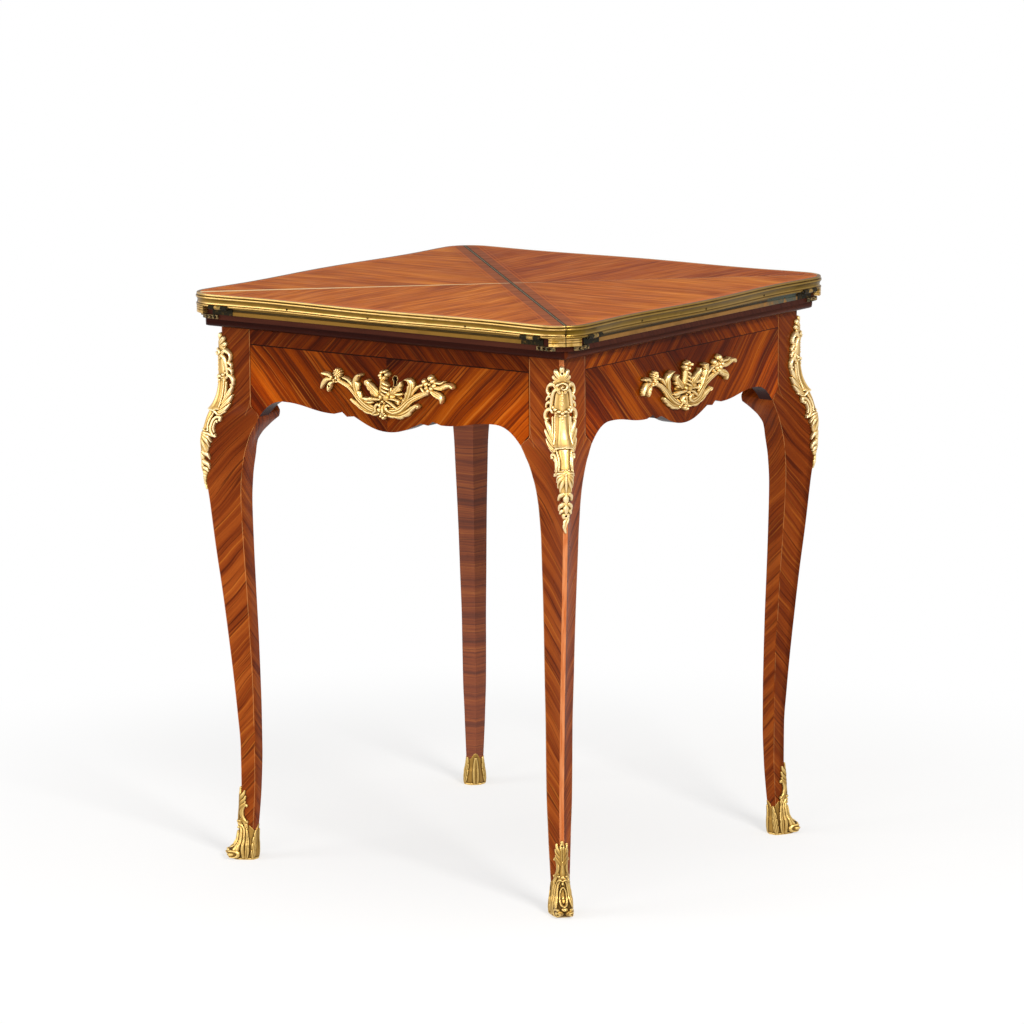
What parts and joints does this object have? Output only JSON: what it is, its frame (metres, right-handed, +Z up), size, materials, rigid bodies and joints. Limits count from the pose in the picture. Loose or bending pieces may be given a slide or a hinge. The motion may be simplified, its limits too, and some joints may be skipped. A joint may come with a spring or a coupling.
{
  "type": "envelope card table",
  "caption": "Square games table on cabriole legs, with a turning top that unfolds like an envelope, a shaped apron drawer and gilt bronze mounts.",
  "frame": {"origin": "on the floor under the centre of the table", "axes": "+X to the right seen from the drawer, +Y to the back, +Z up; the drawer faces -Y"},
  "size_m": [0.6168, 0.6168, 0.756],
  "materials": {
    "veneer": "french polished striped veneer",
    "dark_wood": "polished dark hardwood",
    "inner_wood": "plain oiled oak",
    "gilt_bronze": "gilt and burnished",
    "hinge_brass": "tarnished",
    "steel": "plain",
    "playing_cloth": "green wool baize"
  },
  "bodies": {
    "frame": {"leg_front_left": "veneer", "leg_front_right": "veneer", "leg_back_right": "veneer", "leg_back_left": "veneer", "apron_right": "veneer", "apron_back": "veneer", "apron_left": "veneer", "top_rail_front": "veneer", "top_rail_core": "inner_wood", "cornice_front": "dark_wood", "cornice_right": "dark_wood", "cornice_back": "dark_wood", "cornice_left": "dark_wood", "pivot_bearer": "inner_wood", "drawer_runners": "inner_wood", "drawer_kickers": "inner_wood", "chute_front_left": "gilt_bronze", "chute_front_right": "gilt_bronze", "chute_back_right": "gilt_bronze", "chute_back_left": "gilt_bronze", "sabot_front_left": "gilt_bronze", "sabot_front_right": "gilt_bronze", "sabot_back_right": "gilt_bronze", "sabot_back_left": "gilt_bronze", "mount_right": "gilt_bronze", "mount_back": "gilt_bronze", "mount_left": "gilt_bronze"},
    "drawer": {"drawer_front": "veneer", "drawer_side_left": "inner_wood", "drawer_side_right": "inner_wood", "drawer_back": "inner_wood", "drawer_bottom": "inner_wood", "drawer_mount": "gilt_bronze", "escutcheon": "gilt_bronze", "lock_case": "gilt_bronze"},
    "lock_bolt": {"lock_bolt": "steel"},
    "turning_top": {"base_board": "dark_wood", "base_cloth": "playing_cloth", "base_strips": "gilt_bronze", "base_corners": "gilt_bronze", "base_hinge_leaves": "hinge_brass", "hinge_pins": "steel", "pivot_bolt": "steel", "pivot_nut": "steel"},
    "flap_front": {"flap_front_board": "veneer", "flap_front_rim": "gilt_bronze", "flap_front_cloth": "playing_cloth", "flap_front_hinge_leaves": "hinge_brass"},
    "flap_right": {"flap_right_board": "veneer", "flap_right_rim": "gilt_bronze", "flap_right_cloth": "playing_cloth", "flap_right_hinge_leaves": "hinge_brass"},
    "flap_back": {"flap_back_board": "veneer", "flap_back_rim": "gilt_bronze", "flap_back_cloth": "playing_cloth", "flap_back_hinge_leaves": "hinge_brass"},
    "flap_left": {"flap_left_board": "veneer", "flap_left_rim": "gilt_bronze", "flap_left_cloth": "playing_cloth", "flap_left_hinge_leaves": "hinge_brass"}
  },
  "joints": [
    {"name": "top_turn", "type": "hinge", "parent": "frame", "child": "turning_top", "pos_m": [0, 0, 0.723], "axis": [0, 0, 1], "range_deg": [0, 45]},
    {"name": "drawer_slide", "type": "slide", "parent": "frame", "child": "drawer", "axis": [0, -1, 0], "range_m": [0, 0.3]},
    {"name": "lock_throw", "type": "slide", "parent": "drawer", "child": "lock_bolt", "axis": [0, 0, 1], "range_m": [0, 0.006]},
    {"name": "flap_front_fold", "type": "hinge", "parent": "turning_top", "child": "flap_front", "pos_m": [0, -0.3035, 0.74], "axis": [1, 0, 0], "range_deg": [0, 180]},
    {"name": "flap_right_fold", "type": "hinge", "parent": "turning_top", "child": "flap_right", "pos_m": [0.3035, 0, 0.74], "axis": [0, 1, 0], "range_deg": [0, 180]},
    {"name": "flap_back_fold", "type": "hinge", "parent": "turning_top", "child": "flap_back", "pos_m": [0, 0.3035, 0.74], "axis": [-1, 0, 0], "range_deg": [0, 180]},
    {"name": "flap_left_fold", "type": "hinge", "parent": "turning_top", "child": "flap_left", "pos_m": [-0.3035, 0, 0.74], "axis": [0, -1, 0], "range_deg": [0, 180]}
  ]
}
